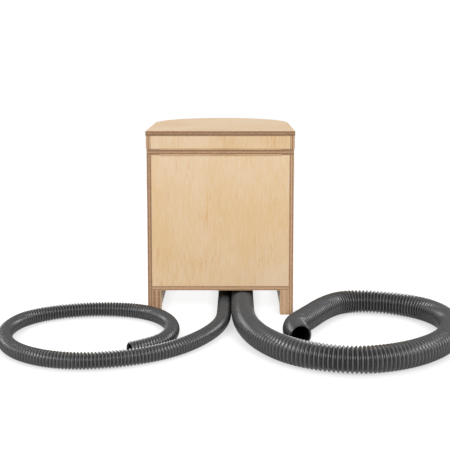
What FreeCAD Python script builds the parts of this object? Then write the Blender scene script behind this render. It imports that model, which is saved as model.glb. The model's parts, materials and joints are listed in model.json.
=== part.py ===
import FreeCAD, Part
import math
import os
from types import SimpleNamespace

import Sketcher

# Driving sizes in millimetres, degrees and counts

SIZES = {
    # lid and hood
    "lid_width": 390,
    "lid_depth": 480,
    "total_height": 490,
    "lid_ply": 12,
    "lid_overhang": 1,
    "lid_rear_overhang": 2,
    "lid_edge_radius": 1.2,
    "rim_ply": 12,
    "rim_height": 35,
    "hood_gap": 1,
    "bumper_radius": 4,
    "bumper_thickness": 0.9,
    # cabinet
    "body_reveal": 2.5,
    "panel_ply": 12,
    "deck_ply": 15,
    "deck_gap": 0.3,
    "bottom_ply": 12,
    "bottom_clearance": 66,
    "runner_width": 22,
    "runner_setback": 10,
    "foot_length": 30,
    "arch_height": 18,
    "arch_radius": 12,
    "front_foot_width": 90,
    "front_foot_depth": 22,
    "front_foot_setback": 30,
    "corner_batten": 20,
    "splice_ply": 12,
    "splice_width": 60,
    "batten_headroom": 8,
    "glue_gap": 0.1,
    # seat
    "seat_side_gap": 10,
    "seat_front_gap": 17,
    "seat_rear_gap": 26,
    "seat_width": 60,
    "seat_border": 45,
    "seat_height": 22,
    "seat_edge_radius": 8,
    "seat_screw_inset": 17,
    "seat_screw_bite": 12,
    # urine separator
    "flange_lap": 12,
    "flange_thickness": 3,
    "flange_clearance": 0.5,
    "seal_thickness": 1,
    "seal_width": 11,
    "opening_clearance": 2,
    "separator_taper": 28,
    "separator_depth": 94,
    "separator_wall": 3,
    "partition_forward": 20,
    "partition_headroom": 27,
    "bowl_depth_at_partition": 47,
    "bowl_depth_at_front": 77,
    "spout_inset": 3,
    "spout_radius": 14,
    "spout_bore": 11,
    "spout_drop": 27,
    # solids bucket
    "bucket_front_gap": 29,
    "bucket_rear_gap": 30,
    "bucket_taper": 20,
    "bucket_height": 240,
    "bucket_wall": 2.5,
    "bucket_rim_width": 6,
    "bucket_rim_height": 5,
    # drain line
    "funnel_radius": 37,
    "funnel_height": 30,
    "funnel_lap": 12,
    "funnel_wall": 2.6,
    "funnel_socket_depth": 25,
    "funnel_socket_wall": 2.8,
    "throat_height": 5,
    "pipe_radius": 16,
    "pipe_wall": 2,
    "socket_clearance": 0.2,
    "pipe_socket_depth": 20,
    "pipe_socket_wall": 3.8,
    "pipe_foot_gap": 2,
    "pipe_top_gap": 0.3,
    "drain_spigot_radius": 15.8,
    "drain_spigot_wall": 2.5,
    "drain_spigot_length": 35,
    "drain_bend_radius": 30,
    "drain_axis_height": 21,
    "drain_flange_radius": 32,
    "drain_screw_circle": 27,
    "elbow_flange_thickness": 4,
    "panel_hole_clearance": 0.3,
    # vent line and fan
    "flange_spacing": 4,
    "vent_step": 3,
    "vent_spigot_radius": 25,
    "vent_spigot_wall": 2.5,
    "vent_spigot_length": 45,
    "vent_bend_radius": 37,
    "vent_axis_height": 31.5,
    "fan_side": 60,
    "fan_height": 20,
    "fan_bore_radius": 28,
    "fan_tip_gap": 1.2,
    "fan_hub_radius": 12,
    "fan_holder_height": 4,
    "fan_strut_width": 3,
    "fan_strut_count": 4,
    "fan_running_gap": 1,
    "fan_pin_radius": 1.5,
    "fan_pin_height": 10,
    "fan_cap": 3,
    "blade_count": 7,
    "blade_pitch": 35,
    "blade_thickness": 1.2,
    "blade_height": 12,
    "guard_thickness": 2,
    "guard_wire": 1.6,
    "guard_ring_count": 3,
    "guard_eye_radius": 4.5,
    "fan_screw_spacing": 50,
    "fan_screw_radius": 1.9,
    "fan_screw_clearance": 0.2,
    "fan_screw_bite": 9,
    # power inlet and lead
    "inlet_forward": 60,
    "inlet_radius": 5.5,
    "inlet_height": 8,
    "inlet_flange_radius": 7,
    "inlet_flange_thickness": 2,
    "inlet_bore_radius": 2.8,
    "inlet_bore_depth": 15,
    "inlet_nut_radius": 8,
    "inlet_nut_height": 3,
    "thread_clearance": 0.1,
    "lead_radius": 1.5,
    "lead_bend_radius": 8,
    "lead_rise": 2,
    # hinges
    "hinge_end_gap": 22,
    "knuckle_count": 16,
    "knuckle_radius": 2,
    "knuckle_gap": 0.3,
    "barrel_clearance": 0.4,
    "hinge_pin_radius": 1,
    "hinge_pin_clearance": 0.05,
    "leaf_thickness": 1,
    "leaf_width": 10,
    "leaf_gap": 0.2,
    "hood_hinge_screw_count": 8,
    "deck_hinge_screw_count": 7,
    "hinge_screw_radius": 1.2,
    "hinge_screw_head_radius": 2.2,
    "hinge_screw_bite": 9,
    # other fasteners
    "pan_head_radius": 3.5,
    "pan_head_height": 2.2,
    "wood_screw_radius": 1.8,
    "sunk_head_radius": 4,
    "sunk_head_height": 3,
    "floor_screw_bite": 30,
    "flange_screw_bite": 9,
    "screw_clearance": 0.05,
    # hoses
    "drain_hose_crest": 19,
    "drain_hose_root": 17.2,
    "drain_hose_bore": 15.9,
    "vent_hose_crest": 30,
    "vent_hose_root": 27,
    "vent_hose_bore": 25.15,
    "hose_rib_count": 200,
    "clip_width": 9,
    "clip_band": 0.8,
    "clip_clearance": 0.15,
    "clip_setback": 16,
    "clip_housing_width": 6,
    "clip_housing_height": 10,
    "clip_screw_radius": 2.6,
    "clip_screw_length": 15,
    # every cut runs past the solid by this much
    "overrun": 1,
}

# Places along a length, as shares of it
FLOOR_SCREW_SHARES = (0.2, 0.52, 0.82)
FRONT_FOOT_SCREW_SHARES = (0.25, 0.75)
BUMPER_SHARES = (0.08, 0.72)
FLANGE_SCREW_SHARES = (0, 1 / 3, 2 / 3)
RIB_SHARES = (0.0, 0.3, 0.5, 0.8)

# Routes of the two hoses, in millimetres: out from under the cabinet and once round on the floor
DRAIN_ROUTE = [
    (0, -86, 21), (0, -20, 21), (-4, 80, 20), (-8, 180, 19.4), (-9, 262, 19.4), (-4, 335, 19.4),
    (14, 405, 19.4), (48, 475, 19.4), (92, 540, 19.4), (150, 588, 19.4), (222, 621, 19.4),
    (300, 635, 19.4), (377, 622, 19.4), (445, 582, 19.4), (492, 528, 19.4), (521, 462, 19.4),
    (528, 390, 19.4), (508, 325, 19.4), (460, 285, 19.4), (398, 262, 19.4), (322, 251, 19.4),
    (246, 258, 19.4), (186, 283, 19.4), (140, 332, 19.4), (115, 398, 19.4), (117, 465, 19.4),
    (142, 524, 19.4), (202, 563, 19.4),
]
VENT_ROUTE = [
    (-66, -76, 31.5), (-66, 30, 31.5), (-61, 140, 30.6), (-58, 250, 30.4), (-58, 340, 30.4),
    (-72, 430, 30.4), (-104, 522, 30.4), (-158, 601, 30.4), (-230, 643, 30.4), (-310, 659, 30.4),
    (-390, 639, 30.4), (-458, 600, 30.4), (-519, 540, 30.4), (-558, 462, 30.4), (-568, 378, 30.4),
    (-541, 297, 30.4), (-480, 244, 30.4), (-398, 216, 30.4), (-325, 226, 30.4), (-262, 284, 30.4),
    (-200, 345, 30.4), (-172, 425, 30.4), (-204, 490, 30.4),
]

doc = FreeCAD.newDocument("urine_diverting_toilet")
sheet = doc.addObject("Spreadsheet::Sheet", "Sizes")
vec = FreeCAD.Vector
up = vec(0, 0, 1)
parts = {}


class Dim:
    """A size and the spreadsheet expression that gives it, so that sums of sizes stay bound."""

    def __init__(self, value, text):
        self.value = float(value)
        self.text = text

    def __float__(self):
        return self.value

    def __int__(self):
        return int(self.value)

    def join(self, sign, other, value):
        return Dim(value, f"({self.text} {sign} {other.text})")

    def __add__(self, other):
        other = dim(other)
        return self.join("+", other, self.value + other.value)

    def __sub__(self, other):
        other = dim(other)
        return self.join("-", other, self.value - other.value)

    def __mul__(self, other):
        other = dim(other)
        return self.join("*", other, self.value * other.value)

    def __truediv__(self, other):
        other = dim(other)
        return self.join("/", other, self.value / other.value)

    def __rsub__(self, other):
        return dim(other) - self

    def __neg__(self):
        return dim(0) - self

    __radd__ = __add__
    __rmul__ = __mul__


def dim(number):
    """The number itself if it is a size already, or a plain number as an expression."""
    if isinstance(number, Dim):
        return number
    return Dim(number, repr(float(number)))


def fill_sheet():
    """One row a size: its name, its number and its alias."""
    sizes = {}
    for row, (name, number) in enumerate(SIZES.items(), start=1):
        sheet.set(f"A{row}", name)
        sheet.set(f"B{row}", str(number))
        sheet.setAlias(f"B{row}", name)
        sizes[name] = Dim(number, f"Sizes.{name}")
    doc.recompute()
    return SimpleNamespace(**sizes)


d = fill_sheet()

# Levels and outlines that the pieces share

half_lid = d.lid_width / 2
half_rim = half_lid - d.lid_overhang
half_rim_in = half_rim - d.rim_ply
half_body = half_lid - d.body_reveal
half_in = half_body - d.panel_ply
lid_rear = d.lid_depth / 2
rear = lid_rear - d.lid_rear_overhang
rear_in = rear - d.panel_ply
front_centre = half_lid - lid_rear
lid_low = d.total_height - d.lid_ply
rim_low = lid_low - d.rim_height
deck_top = rim_low - d.hood_gap
deck_low = deck_top - d.deck_ply
wall_top = deck_low - d.deck_gap
floor_low = d.bottom_clearance
floor_top = floor_low + d.bottom_ply
flange_low = deck_top - d.flange_thickness
separator_low = flange_low - d.separator_depth
seat_outer = half_rim_in - d.splice_ply - d.seat_side_gap
seat_front = front_centre - half_rim_in + d.seat_front_gap
seat_rear = rear - d.rim_ply - d.seat_rear_gap
seat_centre = (seat_front + seat_rear) / 2
seat_half_run = (seat_rear - seat_front) / 2 - seat_outer
seat_inner = seat_outer - d.seat_width
opening_radius = seat_outer - d.seat_border
flange_radius = opening_radius + d.flange_lap
separator_top_radius = opening_radius - d.opening_clearance
separator_low_radius = separator_top_radius - d.separator_taper
partition_y = seat_centre - d.partition_forward
spout_y = seat_centre - seat_half_run - separator_low_radius + d.spout_radius + d.spout_inset
spout_low = flange_low - d.bowl_depth_at_front - d.separator_wall - d.spout_drop - d.funnel_lap
elbow_top = floor_top + d.elbow_flange_thickness
bucket_front = spout_y + d.funnel_radius + d.bucket_front_gap
bucket_rear = rear_in - d.bucket_rear_gap
vent_x = -(d.drain_flange_radius + d.flange_spacing + d.fan_side / 2)
vent_y = spout_y + d.vent_step
hinge_length = 2 * (half_rim_in - d.hinge_end_gap)
hinge_screw_spacing = hinge_length / d.hood_hinge_screw_count
hood_axis = (rim_low + deck_top) / 2
deck_axis = (wall_top + deck_low) / 2

# Helpers


def bind(thing, prop, value):
    thing.setExpression(prop, dim(value).text)


def seat(thing, x, y, z):
    """Puts an object at a place whose coordinates stay bound to the sheet."""
    thing.Placement.Base = vec(float(x), float(y), float(z))
    for axis, value in zip("xyz", (x, y, z)):
        bind(thing, f"Placement.Base.{axis}", value)
    return thing


def part(label, thing):
    """Names a finished piece, which names its file too."""
    thing.Label = label
    parts[label] = thing
    return thing


def box(x, y, z):
    """A block between two corners, each span a pair of low and high."""
    block = doc.addObject("Part::Box", "Block")
    for prop, span in zip(("Length", "Width", "Height"), (x, y, z)):
        bind(block, prop, span[1] - span[0])
    return seat(block, x[0], y[0], z[0])


def cylinder(radius, x, y, z):
    """An upright cylinder, z a pair of low and high."""
    post = doc.addObject("Part::Cylinder", "Post")
    bind(post, "Radius", radius)
    bind(post, "Height", z[1] - z[0])
    return seat(post, x, y, z[0])


def compound(things):
    group = doc.addObject("Part::Compound", "Group")
    group.Links = things
    return group


def cut(base, *tools):
    result = doc.addObject("Part::Cut", "Cut")
    result.Base = base
    result.Tool = tools[0] if len(tools) == 1 else compound(list(tools))
    return result


def common(base, tool):
    result = doc.addObject("Part::Common", "Common")
    result.Base = base
    result.Tool = tool
    return result


def solid(shape):
    """A piece that is worked out as a shape from the sizes in the sheet."""
    piece = doc.addObject("Part::Feature", "Piece")
    piece.Shape = shape
    return piece


def sketch_on(body, role, y=0, z=0):
    """A sketch on one of the body's own planes, moved along the plane and off it."""
    plane = [item for item in body.Origin.OriginFeatures if item.Role == role][0]
    sketch = body.newObject("Sketcher::SketchObject", "Sketch")
    sketch.AttachmentSupport = (plane, [""])
    sketch.MapMode = "FlatFace"
    bind(sketch, "AttachmentOffset.Base.y", y)
    bind(sketch, "AttachmentOffset.Base.z", z)
    return sketch


def rule(sketch, *words):
    sketch.addConstraint(Sketcher.Constraint(*words))


def measure(sketch, value, *words):
    """A dimension of a sketch, bound to the sheet."""
    index = sketch.addConstraint(Sketcher.Constraint(*words, float(value)))
    bind(sketch, f"Constraints[{index}]", value)


def u_outline(sketch, half, back):
    """Straight rear and sides, closed by a half circle about the sketch's origin."""
    radius, far = float(half), float(back)
    first = sketch.addGeometry([
        Part.LineSegment(vec(-radius, far), vec(radius, far)),
        Part.LineSegment(vec(radius, far), vec(radius, 0)),
        Part.ArcOfCircle(Part.Circle(vec(), up, radius), math.pi, 2 * math.pi),
        Part.LineSegment(vec(-radius, 0), vec(-radius, far)),
    ], False)[0]
    back_line, right, arc, left = range(first, first + 4)
    rule(sketch, "Coincident", back_line, 2, right, 1)
    rule(sketch, "Coincident", left, 2, back_line, 1)
    rule(sketch, "Coincident", arc, 3, -1, 1)
    rule(sketch, "Tangent", right, 2, arc, 2)
    rule(sketch, "Tangent", arc, 1, left, 1)
    rule(sketch, "Vertical", right)
    rule(sketch, "Vertical", left)
    rule(sketch, "Horizontal", back_line)
    measure(sketch, half, "Radius", arc)
    measure(sketch, back, "DistanceY", -1, 1, back_line, 1)


def half_ring(sketch, outer, inner):
    """The band between two half circles about the sketch's origin."""
    big, small = float(outer), float(inner)
    sketch.addGeometry([
        Part.ArcOfCircle(Part.Circle(vec(), up, big), math.pi, 2 * math.pi),
        Part.ArcOfCircle(Part.Circle(vec(), up, small), math.pi, 2 * math.pi),
        Part.LineSegment(vec(-big, 0), vec(-small, 0)),
        Part.LineSegment(vec(small, 0), vec(big, 0)),
    ], False)
    for arc in (0, 1):
        rule(sketch, "Coincident", arc, 3, -1, 1)
        rule(sketch, "PointOnObject", arc, 1, -1)
        rule(sketch, "PointOnObject", arc, 2, -1)
    rule(sketch, "Coincident", 2, 1, 0, 1)
    rule(sketch, "Coincident", 2, 2, 1, 1)
    rule(sketch, "Coincident", 3, 1, 1, 2)
    rule(sketch, "Coincident", 3, 2, 0, 2)
    measure(sketch, outer, "Radius", 0)
    measure(sketch, inner, "Radius", 1)


def oval(sketch, radius, half_run):
    """Two half circles, front and rear, joined by straight sides, about the sketch's origin."""
    size, run = float(radius), float(half_run)
    first = sketch.addGeometry([
        Part.ArcOfCircle(Part.Circle(vec(0, -run), up, size), math.pi, 2 * math.pi),
        Part.ArcOfCircle(Part.Circle(vec(0, run), up, size), 0, math.pi),
        Part.LineSegment(vec(size, -run), vec(size, run)),
        Part.LineSegment(vec(-size, run), vec(-size, -run)),
    ], False)[0]
    front, back, right, left = range(first, first + 4)
    rule(sketch, "Tangent", front, 2, right, 1)
    rule(sketch, "Tangent", right, 2, back, 1)
    rule(sketch, "Tangent", back, 2, left, 1)
    rule(sketch, "Tangent", left, 2, front, 1)
    rule(sketch, "PointOnObject", front, 3, -2)
    rule(sketch, "PointOnObject", back, 3, -2)
    rule(sketch, "Equal", front, back)
    measure(sketch, radius, "Radius", front)
    measure(sketch, half_run, "DistanceY", -1, 1, back, 3)
    measure(sketch, half_run, "DistanceY", front, 3, -1, 1)


def pad(body, sketch, height):
    feature = body.newObject("PartDesign::Pad", "Pad")
    feature.Profile = sketch
    bind(feature, "Length", height)
    return feature


def pocket(body, sketch, depth):
    """Cuts down from the sketch, and checks that the cut took something away."""
    doc.recompute()
    before = body.Shape.Volume
    feature = body.newObject("PartDesign::Pocket", "Pocket")
    feature.Profile = sketch
    bind(feature, "Length", depth)
    doc.recompute()
    if body.Shape.Volume >= before:
        raise ValueError(f"a pocket in {body.Label} cut nothing")
    return feature


def round_edges(body, base, level, radius):
    """Rounds the edges of a padded board that lie at one level."""
    doc.recompute()
    tolerance = float(d.overrun) / 1000
    names = []
    for number, edge in enumerate(base.Shape.Edges, start=1):
        bounds = edge.BoundBox
        if max(abs(bounds.ZMin - float(level)), abs(bounds.ZMax - float(level))) < tolerance:
            names.append(f"Edge{number}")
    feature = body.newObject("PartDesign::Fillet", "Round")
    feature.Base = (base, names)
    bind(feature, "Radius", radius)
    return feature


def u_board(half, back, low, high):
    """A board with a straight rear edge and a half-round front about the shared front centre."""
    body = doc.addObject("PartDesign::Body", "Board")
    sketch = sketch_on(body, "XY_Plane", front_centre, low)
    u_outline(sketch, half, back - front_centre)
    return body, pad(body, sketch, high - low)


def bent_board(outer, inner, low, high):
    """A board bent to a half circle about the shared front centre."""
    body = doc.addObject("PartDesign::Body", "BentBoard")
    sketch = sketch_on(body, "XY_Plane", front_centre, low)
    half_ring(sketch, outer, inner)
    pad(body, sketch, high - low)
    return body


def turned(points, x, y, z):
    """A piece turned about an upright axis: a closed profile of pairs of radius and height."""
    body = doc.addObject("PartDesign::Body", "Turned")
    sketch = sketch_on(body, "XZ_Plane")
    corners = [vec(float(radius), float(height)) for radius, height in points]
    ends = corners[1:] + corners[:1]
    sketch.addGeometry([Part.LineSegment(a, b) for a, b in zip(corners, ends)], False)
    for index, (radius, height) in enumerate(points):
        rule(sketch, "Coincident", index, 1, index - 1 if index else len(points) - 1, 2)
        if float(radius) == 0:
            rule(sketch, "PointOnObject", index, 1, -2)
        else:
            measure(sketch, radius, "DistanceX", -1, 1, index, 1)
        if float(height) == 0:
            rule(sketch, "PointOnObject", index, 1, -1)
        else:
            measure(sketch, height, "DistanceY", -1, 1, index, 1)
    turn = body.newObject("PartDesign::Revolution", "Turn")
    turn.Profile = sketch
    turn.ReferenceAxis = (sketch, ["V_Axis"])
    return seat(body, x, y, z)


def oval_wire(radius, half_run, y, z):
    """The oval of the seat as a wire at one level."""
    size, run, mid, level = (float(value) for value in (radius, half_run, y, z))
    front, back = vec(0, mid - run, level), vec(0, mid + run, level)
    side, ahead = vec(size, 0, 0), vec(0, size, 0)
    edges = [
        Part.Arc(front - side, front - ahead, front + side).toShape(),
        Part.LineSegment(front + side, back + side).toShape(),
        Part.Arc(back + side, back + ahead, back - side).toShape(),
        Part.LineSegment(back - side, front - side).toShape(),
    ]
    return Part.Wire(edges)


def pipe(points, radius):
    """A round bar along a straight run, a bend and a straight run, given by corner and bend."""
    start, corner, end, bend = points
    tangent_in = (start - corner).normalize() * bend
    tangent_out = (end - corner).normalize() * bend
    middle = corner + (tangent_in + tangent_out) * (1 - math.sqrt(0.5))
    path = Part.Wire([
        Part.LineSegment(start, corner + tangent_in).toShape(),
        Part.Arc(corner + tangent_in, middle, corner + tangent_out).toShape(),
        Part.LineSegment(corner + tangent_out, end).toShape(),
    ])
    ring = Part.Wire([Part.Circle(start, corner - start, float(radius)).toShape()])
    return path.makePipeShell([ring], True, False)


def bar(radius, start, end):
    """A round bar from one point to another."""
    return Part.makeCylinder(float(radius), (end - start).Length, start, end - start)


def spread(count, spacing):
    """Places about zero, an equal spacing apart."""
    return [(index - (int(count) - 1) / 2) * float(spacing) for index in range(int(count))]


def screws(places, direction, head, shank, length, sunk, clearance=0):
    """Screws with their heads at the given places, pointing one way; a hole is one with clearance."""
    head_radius, head_height = (float(value) for value in head)
    slack = float(clearance)
    bodies = []
    for place in places:
        shaft = bar(float(shank) + slack, place, place + direction * float(length))
        if sunk:
            top = Part.makeCone(head_radius + slack, float(shank) + slack, head_height, place, direction)
        else:
            top = Part.makeCylinder(head_radius + slack, head_height, place, -direction)
        bodies.append(shaft.fuse(top).removeSplitter())
    return Part.Compound(bodies)


# Hinges: two leaves with knuckles that alternate along one pin


def hinge_leaf(level, side):
    """A leaf above (side 1) or below (side -1) the hinge axis, with every second knuckle."""
    length, count, width = float(hinge_length), int(d.knuckle_count), float(d.leaf_width)
    radius, gap = float(d.knuckle_radius), float(d.knuckle_gap)
    pitch, axis_y, z = length / count, float(rear), float(level)
    near = float(d.leaf_gap) / 2
    low = z + near if side > 0 else z - near - float(d.leaf_thickness)
    thick = float(d.leaf_thickness)
    relief = radius + float(d.barrel_clearance)
    leaf = Part.makeBox(length, width - relief, thick, vec(-length / 2, axis_y - width, low))
    for index in range(count):
        if (index % 2 == 0) != (side > 0):
            continue
        left = -length / 2 + index * pitch + gap / 2
        barrel = Part.makeCylinder(radius, pitch - gap, vec(left, axis_y, z), vec(1, 0, 0))
        bridge = Part.makeBox(pitch - gap, relief, thick, vec(left, axis_y - relief, low))
        leaf = leaf.fuse(barrel).fuse(bridge)
    bore = float(d.hinge_pin_radius + d.hinge_pin_clearance)
    start = vec(-length / 2 - float(d.overrun), axis_y, z)
    end = vec(length / 2 + float(d.overrun), axis_y, z)
    return leaf.cut(bar(bore, start, end)).removeSplitter()


def hinge_recess(level):
    """The room that both leaves and the barrel take from the boards beside them."""
    length, width, z = hinge_length, d.leaf_width, level
    reach = d.leaf_gap / 2 + d.leaf_thickness
    leaves = box((-length / 2, length / 2), (rear - width, rear + d.overrun), (z - reach, z + reach))
    barrel = bar(d.knuckle_radius + d.barrel_clearance, vec(-float(length) / 2, float(rear), float(z)),
                 vec(float(length) / 2, float(rear), float(z)))
    return compound([leaves, solid(barrel)])


def hinge_screws(level, side, count, clearance=0):
    """The sunk screws of one leaf, heads in the leaf's face at the joint."""
    face = float(level) + side * float(d.leaf_gap) / 2
    y = float(rear - (d.leaf_width + d.knuckle_radius + d.barrel_clearance) / 2)
    places = [vec(x, y, face) for x in spread(count, hinge_screw_spacing)]
    head = (d.hinge_screw_head_radius, d.leaf_thickness)
    return screws(places, vec(0, 0, side), head, d.hinge_screw_radius, d.hinge_screw_bite, True, clearance)


def hinge(name, level, count):
    """Both leaves, the pin and the screws of one continuous hinge."""
    for word, side in (("upper", 1), ("lower", -1)):
        holes = hinge_screws(level, side, count, d.screw_clearance)
        part(f"{name}_{word}_leaf", solid(hinge_leaf(level, side).cut(holes)))
        part(f"{name}_{word}_screws", solid(hinge_screws(level, side, count)))
    half = float(hinge_length) / 2
    ends = (vec(-half, float(rear), float(level)), vec(half, float(rear), float(level)))
    part(f"{name}_pin", solid(bar(d.hinge_pin_radius, *ends)))


def hinge_holes(level, side, count):
    return solid(hinge_screws(level, side, count, d.screw_clearance))


hinge("hood_hinge", hood_axis, d.hood_hinge_screw_count)
hinge("deck_hinge", deck_axis, d.deck_hinge_screw_count)

# Hood: lid board on two side rims, a bent front rim and a rear strip


def make_hood():
    body, board = u_board(half_lid, lid_rear, lid_low, d.total_height)
    round_edges(body, board, d.total_height, d.lid_edge_radius)
    part("lid_board", body)
    span = (front_centre, rear)
    part("left_rim", box((-half_rim, -half_rim_in), span, (rim_low, lid_low)))
    part("right_rim", box((half_rim_in, half_rim), span, (rim_low, lid_low)))
    part("front_rim", bent_board(half_rim, half_rim_in, rim_low, lid_low))
    strip = box((-half_rim_in, half_rim_in), (rear - d.rim_ply, rear), (rim_low, lid_low))
    holes = hinge_holes(hood_axis, 1, d.hood_hinge_screw_count)
    part("rear_strip", cut(strip, hinge_recess(hood_axis), holes))


def make_rim_splices():
    """Blocks inside the hood, across the joints of the straight and the bent rims."""
    form, _ = u_board(half_rim_in - d.glue_gap, rear, rim_low + d.bumper_thickness, lid_low)
    y = (front_centre - d.splice_width / 2, front_centre + d.splice_width / 2)
    z = (rim_low, d.total_height)
    blocks = []
    for x in ((-half_rim, d.splice_ply - half_rim_in), (half_rim_in - d.splice_ply, half_rim)):
        blocks.append(common(form, box(x, y, z)))
    part("rim_splices", compound(blocks))


def make_bumpers():
    """Soft dots under the rims, just clear of the deck."""
    middle = half_rim - d.rim_ply / 2
    z = (rim_low - d.bumper_thickness, rim_low)
    dots = [cylinder(d.bumper_radius, 0, front_centre - middle, z)]
    for share in BUMPER_SHARES:
        y = front_centre + (rear - front_centre) * share
        dots.append(cylinder(d.bumper_radius, middle, y, z))
        dots.append(cylinder(d.bumper_radius, -middle, y, z))
    part("hood_bumpers", compound(dots))


make_hood()
make_rim_splices()
make_bumpers()

# Seat deck with its ring, the separator in its opening and the seal under the separator's flange


def seat_screw_places():
    """Six places round the seat oval, at the deck's underside."""
    reach, run = float(seat_outer - d.seat_screw_inset), float(seat_half_run)
    mid, level = float(seat_centre), float(deck_low)
    places = [vec(side * reach, mid + end * run, level) for side in (-1, 1) for end in (-1, 1)]
    return places + [vec(0, mid + end * (run + reach), level) for end in (-1, 1)]


def seat_screws(clearance=0):
    head = (d.pan_head_radius, d.pan_head_height)
    length = d.deck_ply + d.seat_screw_bite
    return screws(seat_screw_places(), up, head, d.wood_screw_radius, length, False, clearance)


def make_deck():
    body, board = u_board(half_body, rear, deck_low, deck_top)
    for radius, depth in (
        (flange_radius + d.flange_clearance, d.flange_thickness + d.seal_thickness),
        (opening_radius, d.deck_ply + d.overrun),
    ):
        sketch = sketch_on(body, "XY_Plane", seat_centre, deck_top)
        oval(sketch, radius, seat_half_run)
        pocket(body, sketch, depth)
    holes = (
        hinge_recess(hood_axis),
        hinge_recess(deck_axis),
        hinge_holes(hood_axis, -1, d.hood_hinge_screw_count),
        hinge_holes(deck_axis, 1, d.deck_hinge_screw_count),
        solid(seat_screws(d.screw_clearance)),
    )
    part("seat_deck", cut(body, *holes))


def make_seat_ring():
    body = doc.addObject("PartDesign::Body", "Ring")
    sketch = sketch_on(body, "XY_Plane", seat_centre, deck_top)
    oval(sketch, seat_outer, seat_half_run)
    oval(sketch, seat_inner, seat_half_run)
    ring = pad(body, sketch, d.seat_height)
    round_edges(body, ring, deck_top + d.seat_height, d.seat_edge_radius)
    part("seat_ring", cut(body, solid(seat_screws(d.screw_clearance))))
    part("seat_ring_screws", solid(seat_screws()))


def tapered_oval(low_radius, top_radius):
    """The separator's tapering oval body, run past both ends by the overrun."""
    past = float(d.overrun)
    slope = (float(top_radius) - float(low_radius)) / float(d.separator_depth)
    low = oval_wire(float(low_radius) - slope * past, seat_half_run, seat_centre, separator_low - past)
    top = oval_wire(float(top_radius) + slope * past, seat_half_run, seat_centre, flange_low + past)
    return Part.makeLoft([low, top], True, True)


def side_prism(corners):
    """A prism across the whole separator, its outline given as pairs of y and z."""
    width = float(flange_radius)
    outline = [vec(-width, float(y), float(z)) for y, z in corners]
    return Part.Face(Part.makePolygon(outline + outline[:1])).extrude(vec(2 * width, 0, 0))


def make_separator():
    """Flange, tapering wall, sloping bowl in front, open chute behind and a spout under the bowl."""
    wall = d.separator_wall
    outer = tapered_oval(separator_low_radius, separator_top_radius)
    inner = tapered_oval(separator_low_radius - wall, separator_top_radius - wall)
    front = seat_centre - seat_half_run - flange_radius
    back = seat_centre + seat_half_run + flange_radius
    bowl_back = flange_low - d.bowl_depth_at_partition
    bowl_front = flange_low - d.bowl_depth_at_front
    below = separator_low - 2 * d.overrun
    body_room = side_prism([
        (front, separator_low), (back, separator_low), (back, flange_low), (front, flange_low),
    ])
    under_bowl = side_prism([
        (front, below), (partition_y - wall, below), (partition_y - wall, bowl_back - wall),
        (spout_y, bowl_front - wall), (front, bowl_front - wall),
    ])
    floor = side_prism([
        (front, bowl_front - wall), (spout_y, bowl_front - wall), (partition_y - wall, bowl_back - wall),
        (partition_y - wall, bowl_back), (spout_y, bowl_front), (front, bowl_front),
    ])
    crest = flange_low - d.partition_headroom
    partition = side_prism([
        (partition_y - wall, separator_low), (partition_y, separator_low), (partition_y, crest),
        (partition_y - wall, crest),
    ])
    rim = Part.Face(oval_wire(flange_radius, seat_half_run, seat_centre, flange_low))
    rim = rim.extrude(up * float(d.flange_thickness))
    mouth = oval_wire(separator_top_radius - wall, seat_half_run, seat_centre, flange_low - d.overrun)
    mouth = Part.Face(mouth).extrude(up * float(d.flange_thickness + 2 * d.overrun))
    spout = bar(d.spout_radius, vec(0, float(spout_y), float(spout_low)),
                vec(0, float(spout_y), float(bowl_front - wall / 2)))
    bore = bar(d.spout_bore, vec(0, float(spout_y), float(spout_low - d.overrun)),
               vec(0, float(spout_y), float(bowl_back)))
    skin = outer.common(body_room).cut(inner).cut(under_bowl)
    shape = skin.fuse([floor.common(outer), partition.common(outer), rim.cut(mouth), spout])
    part("urine_separator", solid(shape.cut(bore).removeSplitter()))


def make_seal():
    body = doc.addObject("PartDesign::Body", "Seal")
    sketch = sketch_on(body, "XY_Plane", seat_centre, flange_low - d.seal_thickness)
    oval(sketch, flange_radius, seat_half_run)
    oval(sketch, flange_radius - d.seal_width, seat_half_run)
    pad(body, sketch, d.seal_thickness)
    part("separator_seal", body)


make_deck()
make_seat_ring()
make_separator()
make_seal()

# Cabinet: side panels, bent front shell, rear and bottom panels, runners, foot and battens


def arch():
    """The low arch between the feet of the runners and side panels."""
    block = box((-half_lid, half_lid), (front_centre + d.foot_length, rear - d.foot_length),
                (-d.overrun, d.arch_height))
    doc.recompute()
    edges = []
    for number, edge in enumerate(block.Shape.Edges, start=1):
        bounds = edge.BoundBox
        if bounds.ZMin > float(d.arch_height) / 2 and bounds.XLength > float(half_lid):
            edges.append((number, float(d.arch_radius), float(d.arch_radius)))
    rounded = doc.addObject("Part::Fillet", "Arch")
    rounded.Base = block
    rounded.Edges = edges
    return rounded


def floor_screw_places():
    """Places on the bottom panel, over both runners and the front foot."""
    level, middle = float(floor_top), float(half_in - d.runner_width / 2)
    low, high = float(front_centre + d.runner_setback), float(rear)
    places = [vec(side * middle, low + (high - low) * share, level)
              for side in (-1, 1) for share in FLOOR_SCREW_SHARES]
    foot_y = float(front_foot_y()[0] + d.front_foot_depth / 2)
    width = float(d.front_foot_width)
    return places + [vec((share - 0.5) * width, foot_y, level) for share in FRONT_FOOT_SCREW_SHARES]


def front_foot_y():
    low = front_centre - half_in + d.front_foot_setback
    return (low, low + d.front_foot_depth)


def floor_screws(clearance=0):
    head = (d.sunk_head_radius, d.sunk_head_height)
    length = d.bottom_ply + d.floor_screw_bite
    return screws(floor_screw_places(), -up, head, d.wood_screw_radius, length, True, clearance)


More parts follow.
